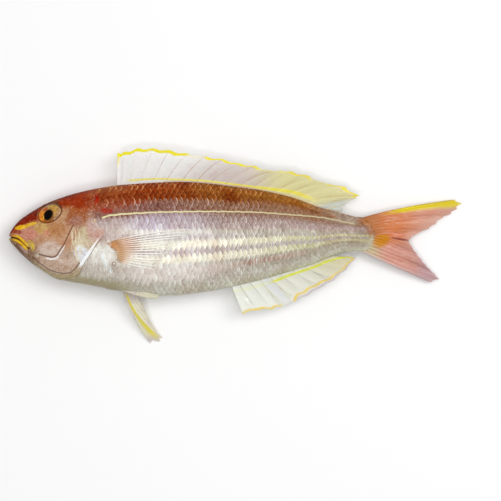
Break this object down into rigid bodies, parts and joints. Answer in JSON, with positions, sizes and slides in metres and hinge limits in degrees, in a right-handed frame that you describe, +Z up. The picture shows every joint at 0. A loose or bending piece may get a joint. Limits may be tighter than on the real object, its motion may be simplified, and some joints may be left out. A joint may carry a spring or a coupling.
{
  "type": "whole raw fish",
  "caption": "Whole raw pink and silver sea fish lying on its side, with yellow stripes, spread fins and a forked tail.",
  "frame": {"origin": "centre of the bounding box at the height of the board the fish lies on", "axes": "+X from the snout to the tail, +Y to the back, +Z up, out of the fish's left flank"},
  "size_m": [0.2815, 0.1217, 0.0344],
  "materials": {
    "skin": "wet, with a silvery sheen",
    "fin": "thin wet membrane on bony rays",
    "eye": "clear and wet"
  },
  "bodies": {
    "root": {"fish": "skin"}
  },
  "joints": []
}
